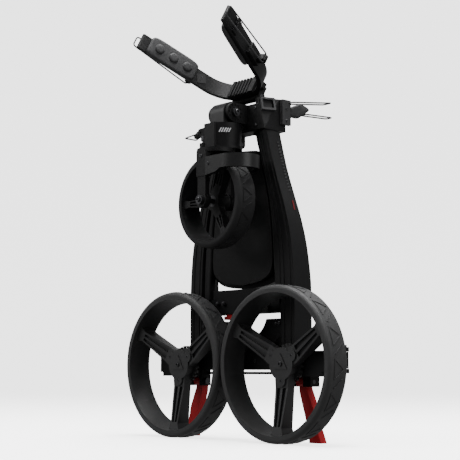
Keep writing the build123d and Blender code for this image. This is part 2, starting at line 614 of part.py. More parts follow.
base = CRADLE.location * block(-38, 38, KNEE_Y - 12, KNEE_Y + 8, -17, -4)
base += CRADLE.location * block(-29, 29, KNEE_Y - 22, KNEE_Y + 4, -17, 12)
base += block(-29, 29, 72, 88, TILT_Z, 686)
base += rod_x(-29.5, 29.5, TILT_Y, TILT_Z, 9.5)
base -= rod_x(-30, 30, TILT_Y, TILT_Z, PIVOT_R + RUN)
base -= CRADLE.location * extrude(band, 40, both=True)
base -= CRADLE.location * block(-60, 60, KNEE_Y, 40, -40, 40)
save("cradle_base", base)
console = Pos(0, KNEE_Y, 0) * block(-36, 36, BAND + 0.2, 15, -19, 19)
for n in range(6):
    console -= Pos(0, KNEE_Y, 0) * block(-27 + 9 * n, -23 + 9 * n, 12.5, 16, -20, 20)
save("cradle_console", CRADLE.location * console - yoke)

PAD_LENGTH, PAD_THICK, PAD_WIDTH = 111.0, 9.5, 46.0
pad = fillet(Box(PAD_LENGTH, PAD_THICK, PAD_WIDTH).edges().filter_by(Axis.Y), 7.0)
for n in (-1, 0, 1):
    bump = Pos(33 * n, PAD_THICK / 2 + 2, 0) * Rot(90, 0, 0) * Cylinder(10.5, 4)
    pad += fillet(bump.edges().group_by(Axis.Y)[-1], 2.5)
save_both("cradle_pads", on_arm(PAD_LENGTH / 2 + 2, -BAND - PAD_THICK / 2, pad) - yoke)

# a ratchet foot on the outside of each arm holds the long wire bail of its strap
STRAP_R = 1.5
BAIL_OUT = 26.0  # how far the bail's pivot stands out from the middle of the band
BAIL_LENGTH, BAIL_HALF = 138.0, 11.0
BAIL_LEAN = 7.0  # the bail closes in on the band towards its tip
CLIP_BORE = STRAP_R + 0.08
foot_block = Pos(15, BAND + 4, 0) * Box(42, 8, 24)
foot_block += Pos(2, BAND + 13, 0) * Box(14, 20, 12)
foot_block += Pos(2, BAIL_OUT, 0) * Cylinder(5.5, 12)
foot_block -= Pos(2, BAIL_OUT, 0) * Cylinder(CLIP_BORE, 14)
keeper = Pos(92, BAND + 2, 0) * Box(16, 4, 30) + Pos(94, BAND + 5, 0) * Box(8, 5, 12)
outward = Rot(180, 0, 0)
save_both(
    "cradle_clips",
    on_arm(0, 0, outward * foot_block) - yoke,
    on_arm(0, 0, outward * keeper) - yoke,
)
bail = wire_loop(
    [(0, 0, BAIL_HALF), (BAIL_LENGTH, 0, BAIL_HALF), (BAIL_LENGTH, 0, -BAIL_HALF), (0, 0, -BAIL_HALF)],
    5.5, STRAP_R,
)
save_pair("cradle_bail", on_arm(2, BAIL_OUT, Rot(0, 0, BAIL_LEAN) * bail))


# ---------------------------------------------------------------- lower cradle
BRACKET_Z0, BRACKET_Z1 = 600.5, 665.0
bracket = front_plate(
    loop([(57.5, BRACKET_Z0), (77, BRACKET_Z0), (75, BRACKET_Z1), (56.5, BRACKET_Z1)]), 64.5, 109
)
bracket += front_plate(
    loop([(78, BRACKET_Z0), (76.2, BRACKET_Z1), (58, BRACKET_Z1), (61, 655.5), (77, BRACKET_Z0)]), 50, 64.5
)
# the outer flank is twisted: it leans in towards the top of its front edge
flank_foot, flank_top, flank_rear = Vector(78.5, 49, 600), Vector(60, 49, 666), Vector(79, 109, 666)
corner = make_face(Polyline(flank_foot, flank_top, (90, 49, 666), close=True))
bracket -= loft([corner, Vertex(flank_rear)])
save_both("rail_top_brackets", bracket)
FLANK = Plane(
    origin=flank_top,
    x_dir=flank_rear - flank_top,
    z_dir=(flank_rear - flank_top).cross(flank_top - flank_foot),
)
ring = Box(31, 27, 5) - Box(23, 18, 6)
ring = FLANK.location * Pos(19.5, -15, 2.4) * ring
buckle = block(76.2, 84, 94, 117, 614, 664)
LOWER_PIVOT_Y, LOWER_PIVOT_Z = 112.5, 659.0
buckle -= rod_x(75, 90, LOWER_PIVOT_Y, LOWER_PIVOT_Z, CLIP_BORE)
save_both("strap_buckles", ring - bracket, buckle - bracket - ring)
SPREAD = 17.0
pad_outline = loop([(0, 632), (0, 650), (26, 660), (46, 653), (48, 648), (22, 630)])
leaf = Rot(0, 0, -SPREAD) * Pos(-6, -6, 0) * extrude(Plane.YZ * make_face(pad_outline), 12)
hook = wire_loop([(8, 30, 0), (8, 107, 4), (-8, 107, 4), (-8, 30, 0)], 5.5, STRAP_R)
save_both(
    "lower_pads",
    Pos(80, 119, 0) * leaf - block(60, 100, 90, 117, 600, 700),
    Pos(86, 119, 640) * hook,
)
lower = wire_loop([(11, 0, 0), (11, 114, 16), (-11, 114, 16), (-11, 0, 0)], 5.5, STRAP_R)
save_pair("lower_bail", Pos(81, LOWER_PIVOT_Y, LOWER_PIVOT_Z) * lower)


# ---------------------------------------------------------------- brake pedals
PEDAL_EYE = 8.5
PEDAL_PIN_R = 4.0
pedal_outline = [(PEDAL_X - 10, PEDAL_Z + 6), (PEDAL_X - 8, 92), (PEDAL_X + 2, 60),
                 (PEDAL_X + 14, 22), (PEDAL_X + 16, 0), (PEDAL_X + 46, 0),
                 (PEDAL_X + 36, 24), (PEDAL_X + 28, 60), (PEDAL_X + 10, 100),
                 (PEDAL_X + 10, PEDAL_Z + 6)]
pedal = front_plate(loop(pedal_outline), PEDAL_Y, PEDAL_Y + 16)
pedal += rod_x(PEDAL_X - 10, PEDAL_X + 10, PEDAL_Y, PEDAL_Z, PEDAL_EYE)
pedal -= rod_x(PEDAL_X - 12, PEDAL_X + 12, PEDAL_Y, PEDAL_Z, PEDAL_PIN_R + RUN)
save_pair("brake_pedal", pedal)
ears = block(PEDAL_X - 18, PEDAL_X - 10.6, PEDAL_Y - 10, PEDAL_Y + 14, PEDAL_Z - 9, BEAM_Z0)
ears += block(PEDAL_X + 10.6, PEDAL_X + 30, PEDAL_Y - 10, PEDAL_Y + 14, PEDAL_Z - 9, BEAM_Z0)
ears -= rod_x(PEDAL_X - 30, PEDAL_X + 32, PEDAL_Y, PEDAL_Z, PEDAL_PIN_R)
save_both("pedal_brackets", ears)
pedal_pin = rod_x(PEDAL_X - 22, PEDAL_X + 30, PEDAL_Y, PEDAL_Z, PEDAL_PIN_R)
pedal_pin += rod_x(PEDAL_X - 26, PEDAL_X - 18, PEDAL_Y, PEDAL_Z, 6.5)
save_both("pedal_pins", pedal_pin)
save("tie_rod", rod_x(-PEDAL_X + 18, PEDAL_X - 18, PEDAL_Y + 8, BEAM_Z0 - 6, 2.5))
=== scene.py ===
from math import atan2, cos, radians, sin, tau

import bmesh
import bpy
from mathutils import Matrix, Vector


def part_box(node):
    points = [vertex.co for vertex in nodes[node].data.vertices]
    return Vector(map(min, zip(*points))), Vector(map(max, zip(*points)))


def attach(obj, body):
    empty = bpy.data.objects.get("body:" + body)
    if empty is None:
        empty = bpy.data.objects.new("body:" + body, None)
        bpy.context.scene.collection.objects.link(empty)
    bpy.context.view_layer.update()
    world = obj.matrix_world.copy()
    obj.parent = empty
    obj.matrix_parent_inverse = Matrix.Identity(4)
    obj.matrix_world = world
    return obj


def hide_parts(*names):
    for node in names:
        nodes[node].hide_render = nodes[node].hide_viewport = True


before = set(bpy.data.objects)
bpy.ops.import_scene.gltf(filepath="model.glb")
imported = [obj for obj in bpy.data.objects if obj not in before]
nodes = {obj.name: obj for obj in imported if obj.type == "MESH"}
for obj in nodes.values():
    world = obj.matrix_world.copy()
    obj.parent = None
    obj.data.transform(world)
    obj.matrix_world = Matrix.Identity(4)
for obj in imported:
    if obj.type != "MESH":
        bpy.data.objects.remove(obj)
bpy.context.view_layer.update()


# ---------------------------------------------------------------- stage
# A pale round floor that sweeps up into a plain wall and glows a little, a camera low in front on the
# cart's right, and three soft boxes: one high on the left, a weaker one on the right, one overhead.
FLOOR_RADIUS = 5.0
SWEEP_RADIUS = 3.0
WALL_TOP = 14.0
WALL_SIDES = 96

floor_mesh = bpy.data.meshes.new("floor")
shape = bmesh.new()
bowl_line = [(FLOOR_RADIUS, 0.0)]
for n in range(1, 11):
    a = radians(9 * n)
    bowl_line.append((FLOOR_RADIUS + SWEEP_RADIUS * sin(a), SWEEP_RADIUS - SWEEP_RADIUS * cos(a)))
bowl_line.append((FLOOR_RADIUS + SWEEP_RADIUS, WALL_TOP))
around = [tau * n / WALL_SIDES for n in range(WALL_SIDES)]
rows = [[shape.verts.new((r * cos(a), r * sin(a), z)) for a in around] for r, z in bowl_line]
shape.faces.new(rows[0])
for low, high in zip(rows, rows[1:]):
    for n in range(WALL_SIDES):
        m = (n + 1) % WALL_SIDES
        shape.faces.new((low[n], high[n], high[m], low[m]))
shape.to_mesh(floor_mesh)
shape.free()
for face in floor_mesh.polygons:
    face.use_smooth = True
floor = bpy.data.objects.new("floor", floor_mesh)
bpy.context.collection.objects.link(floor)
floor.visible_diffuse = False
floor.visible_glossy = False
floor.visible_shadow = False

paper = bpy.data.materials.new("white_paper")
paper.use_nodes = True
paper_shader = paper.node_tree.nodes["Principled BSDF"]
paper_shader.inputs["Roughness"].default_value = 0.75
paper_shader.inputs["Specular IOR Level"].default_value = 0.0
paper_shader.inputs["Emission Color"].default_value = (1, 1, 1, 1)
paper_shader.inputs["Emission Strength"].default_value = 2.6
paper_mottle = paper.node_tree.nodes.new("ShaderNodeTexNoise")
paper_mottle.inputs["Scale"].default_value = 3.0
paper_tint = paper.node_tree.nodes.new("ShaderNodeMix")
paper_tint.data_type = "RGBA"
paper_tint.inputs[6].default_value = (0.925, 0.925, 0.925, 1)
paper_tint.inputs[7].default_value = (0.94, 0.94, 0.94, 1)
paper.node_tree.links.new(paper_mottle.outputs["Fac"], paper_tint.inputs[0])
paper.node_tree.links.new(paper_tint.outputs[2], paper_shader.inputs["Base Color"])
floor_mesh.materials.append(paper)

camera_data = bpy.data.cameras.new("camera")
camera_data.lens = 91.98
camera_data.sensor_width = 36.0
camera_data.clip_end = 60.0
camera = bpy.data.objects.new("camera", camera_data)
camera.location = (1.6932, -1.5688, 0.1329)
camera.rotation_euler = (radians(90 + 6.82), 0, radians(47.74))
bpy.context.collection.objects.link(camera)
bpy.context.scene.camera = camera


def soft_light(name, place, aim, width, height, power):
    """A square soft box that looks at a point."""
    data = bpy.data.lights.new(name, "AREA")
    data.shape = "RECTANGLE"
    data.size, data.size_y = width, height
    data.energy = power
    lamp = bpy.data.objects.new(name, data)
    lamp.location = place
    lamp.rotation_euler = (Vector(aim) - Vector(place)).to_track_quat("-Z", "Y").to_euler()
    bpy.context.collection.objects.link(lamp)
    return lamp


middle = (0.0, 0.0, 0.4)
soft_light("key_light", (-1.4, -2.2, 2.3), middle, 2.2, 2.2, 60)
soft_light("right_light", (2.8, 0.4, 1.3), middle, 1.6, 2.2, 30)
soft_light("top_light", (0.1, 0.1, 2.6), middle, 1.8, 1.8, 190)
world = bpy.data.worlds.new("studio")
world.use_nodes = True
world.node_tree.nodes["Background"].inputs["Color"].default_value = (1, 1, 1, 1)
world.node_tree.nodes["Background"].inputs["Strength"].default_value = 0.4
bpy.context.scene.world = world


# ---------------------------------------------------------------- frame
# Side rails, axle beam and mast tubes are aluminium extrusions, cut, drilled and bolted to castings.
# Their fine charcoal powder coat is matt and slightly pebbled, a little lighter where hands and bags rub.
def new_group(name, inputs, outputs):
    """An empty shader node group with named sockets, and its two end nodes."""
    tree = bpy.data.node_groups.new(name, "ShaderNodeTree")
    for label, kind, value in inputs:
        socket = tree.interface.new_socket(label, in_out="INPUT", socket_type=kind)
        socket.default_value = value
    for label, kind in outputs:
        tree.interface.new_socket(label, in_out="OUTPUT", socket_type=kind)
    return tree, tree.nodes.new("NodeGroupInput"), tree.nodes.new("NodeGroupOutput")


grain, grain_in, grain_out = new_group(
    "surface_grain",
    [
        ("Colour", "NodeSocketColor", (0.1, 0.1, 0.1, 1)),
        ("Worn Colour", "NodeSocketColor", (0.2, 0.2, 0.2, 1)),
        ("Grain Scale", "NodeSocketFloat", 900.0), ("Patch Scale", "NodeSocketFloat", 14.0),
        ("Patch Amount", "NodeSocketFloat", 0.35), ("Roughness", "NodeSocketFloat", 0.5),
        ("Roughness Spread", "NodeSocketFloat", 0.12),
    ],
    [("Colour", "NodeSocketColor"), ("Roughness", "NodeSocketFloat"), ("Height", "NodeSocketFloat")],
)
place = grain.nodes.new("ShaderNodeTexCoord")
patches = grain.nodes.new("ShaderNodeTexNoise")
patches.inputs["Detail"].default_value = 5.0
patch_edge = grain.nodes.new("ShaderNodeMapRange")
patch_edge.inputs["From Min"].default_value = 0.42
patch_edge.inputs["From Max"].default_value = 0.75
patch_amount = grain.nodes.new("ShaderNodeMath")
patch_amount.operation = "MULTIPLY"
tint = grain.nodes.new("ShaderNodeMix")
tint.data_type = "RGBA"
pebbles = grain.nodes.new("ShaderNodeTexNoise")
pebbles.inputs["Detail"].default_value = 3.0
cells = grain.nodes.new("ShaderNodeTexVoronoi")
height = grain.nodes.new("ShaderNodeMath")
height.operation = "MULTIPLY"
spread = grain.nodes.new("ShaderNodeMath")
spread.operation = "MULTIPLY_ADD"
link = grain.links.new
link(place.outputs["Object"], patches.inputs["Vector"])
link(place.outputs["Object"], pebbles.inputs["Vector"])
link(place.outputs["Object"], cells.inputs["Vector"])
link(grain_in.outputs["Patch Scale"], patches.inputs["Scale"])
link(grain_in.outputs["Grain Scale"], pebbles.inputs["Scale"])
link(grain_in.outputs["Grain Scale"], cells.inputs["Scale"])
link(patches.outputs["Fac"], patch_edge.inputs["Value"])
link(patch_edge.outputs["Result"], patch_amount.inputs[0])
link(grain_in.outputs["Patch Amount"], patch_amount.inputs[1])
link(patch_amount.outputs[0], tint.inputs[0])
link(grain_in.outputs["Colour"], tint.inputs[6])
link(grain_in.outputs["Worn Colour"], tint.inputs[7])
link(pebbles.outputs["Fac"], height.inputs[0])
link(cells.outputs["Distance"], height.inputs[1])
link(patches.outputs["Fac"], spread.inputs[0])
link(grain_in.outputs["Roughness Spread"], spread.inputs[1])
link(grain_in.outputs["Roughness"], spread.inputs[2])
link(tint.outputs[2], grain_out.inputs["Colour"])
link(spread.outputs[0], grain_out.inputs["Roughness"])
link(height.outputs[0], grain_out.inputs["Height"])


def grained(name, colour, worn, scale, patch, amount, rough, spread_by, bump, metallic=0.0, specular=0.15):
    """A material with the grain group in front of a Principled shader."""
    material = bpy.data.materials.new(name)
    material.use_nodes = True
    tree = material.node_tree
    shader = tree.nodes["Principled BSDF"]
    shader.inputs["Metallic"].default_value = metallic
    shader.inputs["Specular IOR Level"].default_value = specular
    skin = tree.nodes.new("ShaderNodeGroup")
    skin.node_tree = grain
    values = {"Colour": (*colour, 1), "Worn Colour": (*worn, 1), "Grain Scale": scale, "Patch Scale": patch,
              "Patch Amount": amount, "Roughness": rough, "Roughness Spread": spread_by}
    for label, value in values.items():
        skin.inputs[label].default_value = value
    relief = tree.nodes.new("ShaderNodeBump")
    relief.inputs["Strength"].default_value = bump
    relief.inputs["Distance"].default_value = 0.0006
    tree.links.new(skin.outputs["Colour"], shader.inputs["Base Color"])
    tree.links.new(skin.outputs["Roughness"], shader.inputs["Roughness"])
    tree.links.new(skin.outputs["Height"], relief.inputs["Height"])
    tree.links.new(relief.outputs["Normal"], shader.inputs["Normal"])
    return material


def paint(material, *names):
    """Gives CAD nodes a finished material."""
    for name in names:
        mesh = nodes[name].data
        mesh.materials.clear()
        mesh.materials.append(material)


powder_coat = grained(
    "charcoal_powder_coat", (0.0045, 0.0046, 0.0048), (0.0085, 0.0086, 0.009),
    scale=1500, patch=12, amount=0.5, rough=0.42, spread_by=0.14, bump=0.25,
)
paint(
    powder_coat, "side_rail_left", "side_rail_right", "axle_beam", "mast_tubes", "handle_hoop",
    "wheel_arm_left", "wheel_arm_right", "tie_rod",
)


def add_piece(name, mesh, material, body):
    """Puts a finished mesh in the scene on a CAD body."""
    piece = bpy.data.objects.new(name, mesh)
    bpy.context.collection.objects.link(piece)
    mesh.materials.clear()
    mesh.materials.append(material)
    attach(piece, body)
    return piece


def smooth(mesh, angle=35):
    """Shades a mesh smooth except over sharp edges."""
    mesh.polygons.foreach_set("use_smooth", [True] * len(mesh.polygons))
    mesh.set_sharp_from_angle(angle=radians(angle))


def seam_mesh(name, line, half_width, depth):
    """A raised bar with bevelled shoulders on a front face, along a line of points."""
    shape = bmesh.new()
    rings = []
    profile = [(-1.0, -0.3), (-1.0, 0.35), (-0.72, 1.0), (0.72, 1.0), (1.0, 0.35), (1.0, -0.3)]
    for point in line:
        ring = [point + Vector((a * half_width, -b * depth, 0)) for a, b in profile]
        rings.append([shape.verts.new(corner) for corner in ring])
    for one, two in zip(rings, rings[1:]):
        for n in range(6):
            m = (n + 1) % 6
            shape.faces.new((one[n], one[m], two[m], two[n]))
    shape.faces.new(rings[0][::-1])
    shape.faces.new(rings[-1])
    bmesh.ops.recalc_face_normals(shape, faces=shape.faces)
    mesh = bpy.data.meshes.new(name)
    shape.to_mesh(mesh)
    shape.free()
    smooth(mesh, 30)
    return mesh


# The rails' front faces carry two raised seams of the extrusion, which follow the rail's curve.
SEAM_HALF_WIDTH, SEAM_DEPTH = 0.0016, 0.0014
wheel_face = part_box("rear_tyre_right")[0][1]
rail_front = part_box("side_rail_right")[0][1]
rail_middle = [
    (132, 175), (132.5, 235), (131.7, 301), (129.7, 340), (125.2, 380), (117.5, 418),
    (107.5, 457), (95, 496), (86, 526), (76, 560), (67, 597),
]
rail_half = [17, 17.5, 17.2, 16.7, 16.2, 15.5, 13.5, 12, 11, 11, 9.5]
for sign, label in ((1, "right"), (-1, "left")):
    for share, tag in ((-0.55, "inner"), (0.42, "outer")):
        line = []
        for (x, z), half in zip(rail_middle, rail_half):
            line.append(Vector((sign * (x + half * share) / 1000, rail_front, z / 1000)))
        mesh = seam_mesh(f"rail_seam_{tag}_{label}", line, SEAM_HALF_WIDTH, SEAM_DEPTH)
        add_piece(f"rail_seam_{tag}_{label}", mesh, powder_coat, "base")


# ---------------------------------------------------------------- castings
# Bow, nose box, brackets, mast foot and head are black castings with a fine matt spark texture.
# Stem, fork and the rails' top brackets are a dark glass-filled nylon, and the strap buckles a
# lighter grey one. They are bolted to the rails and tubes.
black_casting = grained(
    "black_spark_texture", (0.0022, 0.0022, 0.0024), (0.0045, 0.0045, 0.0047),
    scale=2600, patch=20, amount=0.4, rough=0.5, spread_by=0.12, bump=0.35,
)
paint(
    black_casting, "hinge_brackets", "rear_bow", "nose_box", "pedal_brackets", "mast_foot", "mast_head",
    "lever_base", "cradle_base", "clamp_lever",
)
dark_nylon = grained(
    "dark_grey_nylon", (0.0045, 0.0045, 0.0048), (0.008, 0.008, 0.0083),
    scale=2200, patch=16, amount=0.5, rough=0.38, spread_by=0.12, bump=0.25,
)
paint(dark_nylon, "stem_housing", "fork", "rail_top_brackets", "cradle_clips")
buckle_grey = grained(
    "buckle_grey_nylon", (0.03, 0.03, 0.031), (0.045, 0.045, 0.046),
    scale=2200, patch=20, amount=0.5, rough=0.4, spread_by=0.12, bump=0.25,
)
paint(buckle_grey, "strap_buckles")

# ---------------------------------------------------------------- satin grey mouldings
# The U-shaped cradle yoke and its ribbed console are injection moulded in smooth satin dark nylon, and
# so are the elbow and mudguard, in a glossier graphite. They are bolted to the frame.
satin_grey = grained(
    "satin_grey_nylon", (0.006, 0.006, 0.0063), (0.010, 0.010, 0.0104),
    scale=1800, patch=10, amount=0.6, rough=0.40, spread_by=0.12, bump=0.15,
)
paint(satin_grey, "cradle_yoke", "cradle_console")
graphite = grained(
    "graphite_satin", (0.005, 0.005, 0.0053), (0.009, 0.009, 0.0094),
    scale=1800, patch=10, amount=0.6, rough=0.28, spread_by=0.10, bump=0.12, specular=0.3,
)
paint(graphite, "elbow", "mudguard")

# ---------------------------------------------------------------- console panel
# The handle's console is a semi-gloss black moulding with a fine leather-like grain, clipped into
# the handle's hoop.
console_black = grained(
    "console_black", (0.002, 0.002, 0.0022), (0.004, 0.004, 0.0042),
    scale=1100, patch=9, amount=0.5, rough=0.3, spread_by=0.12, bump=0.5,
)
paint(console_black, "console_panel")

# ---------------------------------------------------------------- wheels
# Rims, spokes and hub covers are moulded in one matt dark nylon, and the front wheel is a shade darker.
# The tyres are dense foam stretched over the rims, with raised plain triangles and chevrons on the tread.
wheel_grey = grained(
    "wheel_grey_nylon", (0.013, 0.013, 0.0134), (0.019, 0.019, 0.0195),
    scale=2000, patch=12, amount=0.6, rough=0.40, spread_by=0.12, bump=0.22, specular=0.4,
)
paint(
    wheel_grey, "rear_wheel_left", "rear_wheel_right", "rear_hub_cap_left", "rear_hub_cap_right",
)
front_grey = grained(
    "front_wheel_grey", (0.010, 0.010, 0.0104), (0.015, 0.015, 0.0154),
    scale=2000, patch=12, amount=0.6, rough=0.45, spread_by=0.12, bump=0.22,
)
paint(front_grey, "front_wheel")
foam = grained(
    "tyre_foam", (0.022, 0.022, 0.0225), (0.03, 0.03, 0.0305),
    scale=1500, patch=16, amount=0.7, rough=0.52, spread_by=0.14, bump=0.5, specular=0.3,
)
front_foam = grained(
    "front_tyre_foam", (0.013, 0.013, 0.0134), (0.019, 0.019, 0.0195),
    scale=1500, patch=16, amount=0.7, rough=0.6, spread_by=0.14, bump=0.5,
)
paint(foam, "rear_tyre_left", "rear_tyre_right")
paint(front_foam, "front_tyre")


def ring_tree():
    """Geometry Nodes: copies a mesh round an axis through a centre."""
    tree = bpy.data.node_groups.new("ring_of_copies", "GeometryNodeTree")
    face = tree.interface
    face.new_socket("Geometry", in_out="INPUT", socket_type="NodeSocketGeometry")
    face.new_socket("Count", in_out="INPUT", socket_type="NodeSocketInt").default_value = 12
    face.new_socket("Centre", in_out="INPUT", socket_type="NodeSocketVector")
    face.new_socket("Axis", in_out="INPUT", socket_type="NodeSocketVector")
    face.new_socket("Material", in_out="INPUT", socket_type="NodeSocketMaterial")
    face.new_socket("Geometry", in_out="OUTPUT", socket_type="NodeSocketGeometry")
    new = tree.nodes.new
    start, end = new("NodeGroupInput"), new("NodeGroupOutput")
    away = new("ShaderNodeVectorMath")
    away.operation = "SCALE"
    away.inputs["Scale"].default_value = -1.0
    centred = new("GeometryNodeTransform")
    spots = new("GeometryNodePoints")
    copies = new("GeometryNodeInstanceOnPoints")
    index = new("GeometryNodeInputIndex")
    step = new("ShaderNodeMath")
    step.operation = "DIVIDE"
    step.inputs[0].default_value = tau
    turn = new("ShaderNodeMath")
    turn.operation = "MULTIPLY"
    spin = new("FunctionNodeAxisAngleToRotation")
    real = new("GeometryNodeRealizeInstances")
    dressed = new("GeometryNodeSetMaterial")
    join = tree.links.new
    join(start.outputs["Centre"], away.inputs[0])
    join(away.outputs["Vector"], centred.inputs["Translation"])
    join(start.outputs["Geometry"], centred.inputs["Geometry"])
    join(start.outputs["Count"], spots.inputs["Count"])
    join(start.outputs["Centre"], spots.inputs["Position"])
    join(start.outputs["Count"], step.inputs[1])
    join(index.outputs["Index"], turn.inputs[0])
    join(step.outputs[0], turn.inputs[1])
    join(start.outputs["Axis"], spin.inputs["Axis"])
    join(turn.outputs[0], spin.inputs["Angle"])
    join(spots.outputs[0], copies.inputs["Points"])
    join(centred.outputs["Geometry"], copies.inputs["Instance"])
    join(spin.outputs["Rotation"], copies.inputs["Rotation"])
    join(copies.outputs["Instances"], real.inputs["Geometry"])
    join(real.outputs["Geometry"], dressed.inputs["Geometry"])
    join(start.outputs["Material"], dressed.inputs["Material"])
    join(dressed.outputs["Geometry"], end.inputs["Geometry"])
    return tree


ring_of_copies = ring_tree()


def run_tree(name, mesh, tree, values, body):
    """Runs a node tree on a mesh and keeps the plain mesh that comes out."""
    seed = bpy.data.objects.new(name, mesh)
    bpy.context.collection.objects.link(seed)
    modifier = seed.modifiers.new("copies", "NODES")
    modifier.node_group = tree
    for item in tree.interface.items_tree:
        if item.in_out == "INPUT" and item.name in values:
            modifier[item.identifier] = values[item.name]
    view = bpy.context.evaluated_depsgraph_get()
    result = bpy.data.meshes.new_from_object(seed.evaluated_get(view), depsgraph=view)
    seed.modifiers.clear()
    seed.data = result
    result.name = name
    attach(seed, body)
    return seed


TREAD_EDGE = 0.0085
MARK_INSET, MARK_RISE, MARK_LINE = 0.001, 0.0012, 0.0013


def tread_mark(centre, radius, y_from, y_to, arc):
    """A triangle outline and a chevron bar raised on the tread, at the top of the wheel."""
    shape = bmesh.new()
    width = y_to - y_from

    def spot(s, t, up):
        angle = (t - 0.5) * arc
        r = radius + up
        return (centre[0] + r * sin(angle), y_from + s * width, centre[2] + r * cos(angle))

    def bar(a, b):
        """A straight bar on the tread between two (s, t) points."""
        along = Vector(((b[0] - a[0]) * width, (b[1] - a[1]) * arc * radius)).normalized()
        ds, dt = -along.y * MARK_LINE / width, along.x * MARK_LINE / (arc * radius)
        rings = []
        for k in range(6):
            s, t = a[0] + (b[0] - a[0]) * k / 5, a[1] + (b[1] - a[1]) * k / 5
            ring = [
                (s - ds, t - dt, -MARK_INSET), (s - ds * 0.7, t - dt * 0.7, MARK_RISE),
                (s + ds * 0.7, t + dt * 0.7, MARK_RISE), (s + ds, t + dt, -MARK_INSET),
            ]
            rings.append([shape.verts.new(spot(*corner)) for corner in ring])
        for one, two in zip(rings, rings[1:]):
            for n in range(4):
                m = (n + 1) % 4
                shape.faces.new((one[n], one[m], two[m], two[n]))
        shape.faces.new(rings[0])
        shape.faces.new(rings[-1][::-1])

    corners = [(0.12, 0.12), (0.88, 0.42), (0.12, 0.72), (0.12, 0.12)]
    for a, b in zip(corners, corners[1:]):
        bar(a, b)
    bar((0.2, 0.98), (0.88, 0.68))
    bmesh.ops.recalc_face_normals(shape, faces=shape.faces)
    mesh = bpy.data.meshes.new("tread_mark")
    shape.to_mesh(mesh)
    shape.free()
    return mesh


for label, node, count, material, body in (
    ("right", "rear_tyre_right", 15, foam, "rear_wheel_right"),
    ("left", "rear_tyre_left", 15, foam, "rear_wheel_left"),
    ("front", "front_tyre", 12, front_foam, "front_wheel"),
):
    low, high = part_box(node)
    centre = [(a + b) / 2 for a, b in zip(low, high)]
    radius = (high[2] - low[2]) / 2
    mark = tread_mark(centre, radius, low[1] + TREAD_EDGE, high[1] - TREAD_EDGE, tau / count)
    values = {"Count": count, "Centre": centre, "Axis": (0, 1, 0), "Material": material}
    run_tree(f"tread_marks_{label}", mark, ring_of_copies, values, body)

# ---------------------------------------------------------------- pedals
# The brake pedals and the latch tab are moulded in a muted red glass-filled nylon. The pedals turn on
# steel pins in their brackets, and the tab slides in a slot under the mast's foot.
red_nylon = grained(
    "muted_red_nylon", (0.30, 0.008, 0.012), (0.36, 0.02, 0.024),
    scale=2000, patch=16, amount=0.5, rough=0.4, spread_by=0.12, bump=0.25,
)
paint(red_nylon, "brake_pedal_left", "brake_pedal_right", "release_tab")

# ---------------------------------------------------------------- wire and pins
# The strap bails are satin steel wire, bent to shape and sprung into their eyes.
# Pins, axles and bearings are turned steel, and the swivel's bushes are sintered bronze.
wire = grained(
    "satin_wire", (0.05, 0.05, 0.0515), (0.08, 0.08, 0.082),
    scale=2500, patch=40, amount=0.5, rough=0.42, spread_by=0.15, bump=0.1, metallic=0.5,
)
paint(wire, "cradle_bail_left", "cradle_bail_right", "lower_bail_left", "lower_bail_right", "clamp_bail")
steel = grained(
    "turned_steel", (0.06, 0.06, 0.063), (0.10, 0.10, 0.104),
    scale=2500, patch=40, amount=0.5, rough=0.35, spread_by=0.15, bump=0.1, metallic=1.0,
)
paint(
    steel, "swing_pins", "mast_pin", "elbow_pin", "pedal_pins", "rear_axle_left", "rear_axle_right",
    "rear_bearings_left", "rear_bearings_right", "front_bearings", "front_axle", "foot_bolts",
    "tilt_pin", "handle_pins", "swivel_plunger",
)
bronze = grained(
    "sintered_bronze", (0.32, 0.2, 0.09), (0.42, 0.28, 0.13),
    scale=3000, patch=40, amount=0.5, rough=0.5, spread_by=0.1, bump=0.3, metallic=0.8,
)
paint(bronze, "swivel_bushes")

# ---------------------------------------------------------------- pads
# The bag pads are moulded soft rubber over the arms: crowned, with rolled edges and three domed studs
# each. The lower ones are thick leaves of the same rubber, with a wire hook behind each.
rubber = grained(
    "soft_rubber", (0.03, 0.03, 0.031), (0.055, 0.055, 0.0565),
    scale=1300, patch=14, amount=0.6, rough=0.55, spread_by=0.12, bump=0.45,
)


def at(x, y, z):
    """A point of the design in millimetres, measured from the rear wheels' front face."""
    return Vector((x / 1000, wheel_face + y / 1000, z / 1000))


def flip(point):
    """The same point on the other side of the cart."""
    return Vector((-point.x, point.y, point.z))


def keep(point):
    """The point itself, for the right side."""
    return point


sides_of_cart = (("right", keep), ("left", flip))

# The yoke leans forward, and each arm rises far more than it spreads.
CRADLE_SLOPE = radians(29.0)
ARM_RISE, ARM_SPREAD = 122.0, 39.2
ROOT_OUT, ROOT_UP = 87.3, 66
sideways = Vector((1, 0, 0))
cradle_up = Vector((0, -cos(CRADLE_SLOPE), sin(CRADLE_SLOPE)))
cradle_wide = Vector((0, -sin(CRADLE_SLOPE), -cos(CRADLE_SLOPE)))
cradle_foot = at(0, 70, 697)
arm_turn = atan2(ARM_RISE, ARM_SPREAD)
arm_along = sideways * cos(arm_turn) + cradle_up * sin(arm_turn)
arm_out = sideways * sin(arm_turn) - cradle_up * cos(arm_turn)
arm_root = cradle_foot + (sideways * ROOT_OUT + cradle_up * ROOT_UP) / 1000


def on_arm(along, out, wide):
    """A point on the right arm, in millimetres along it, out from it and across it."""
    return arm_root + (arm_along * along + arm_out * out + cradle_wide * wide) / 1000


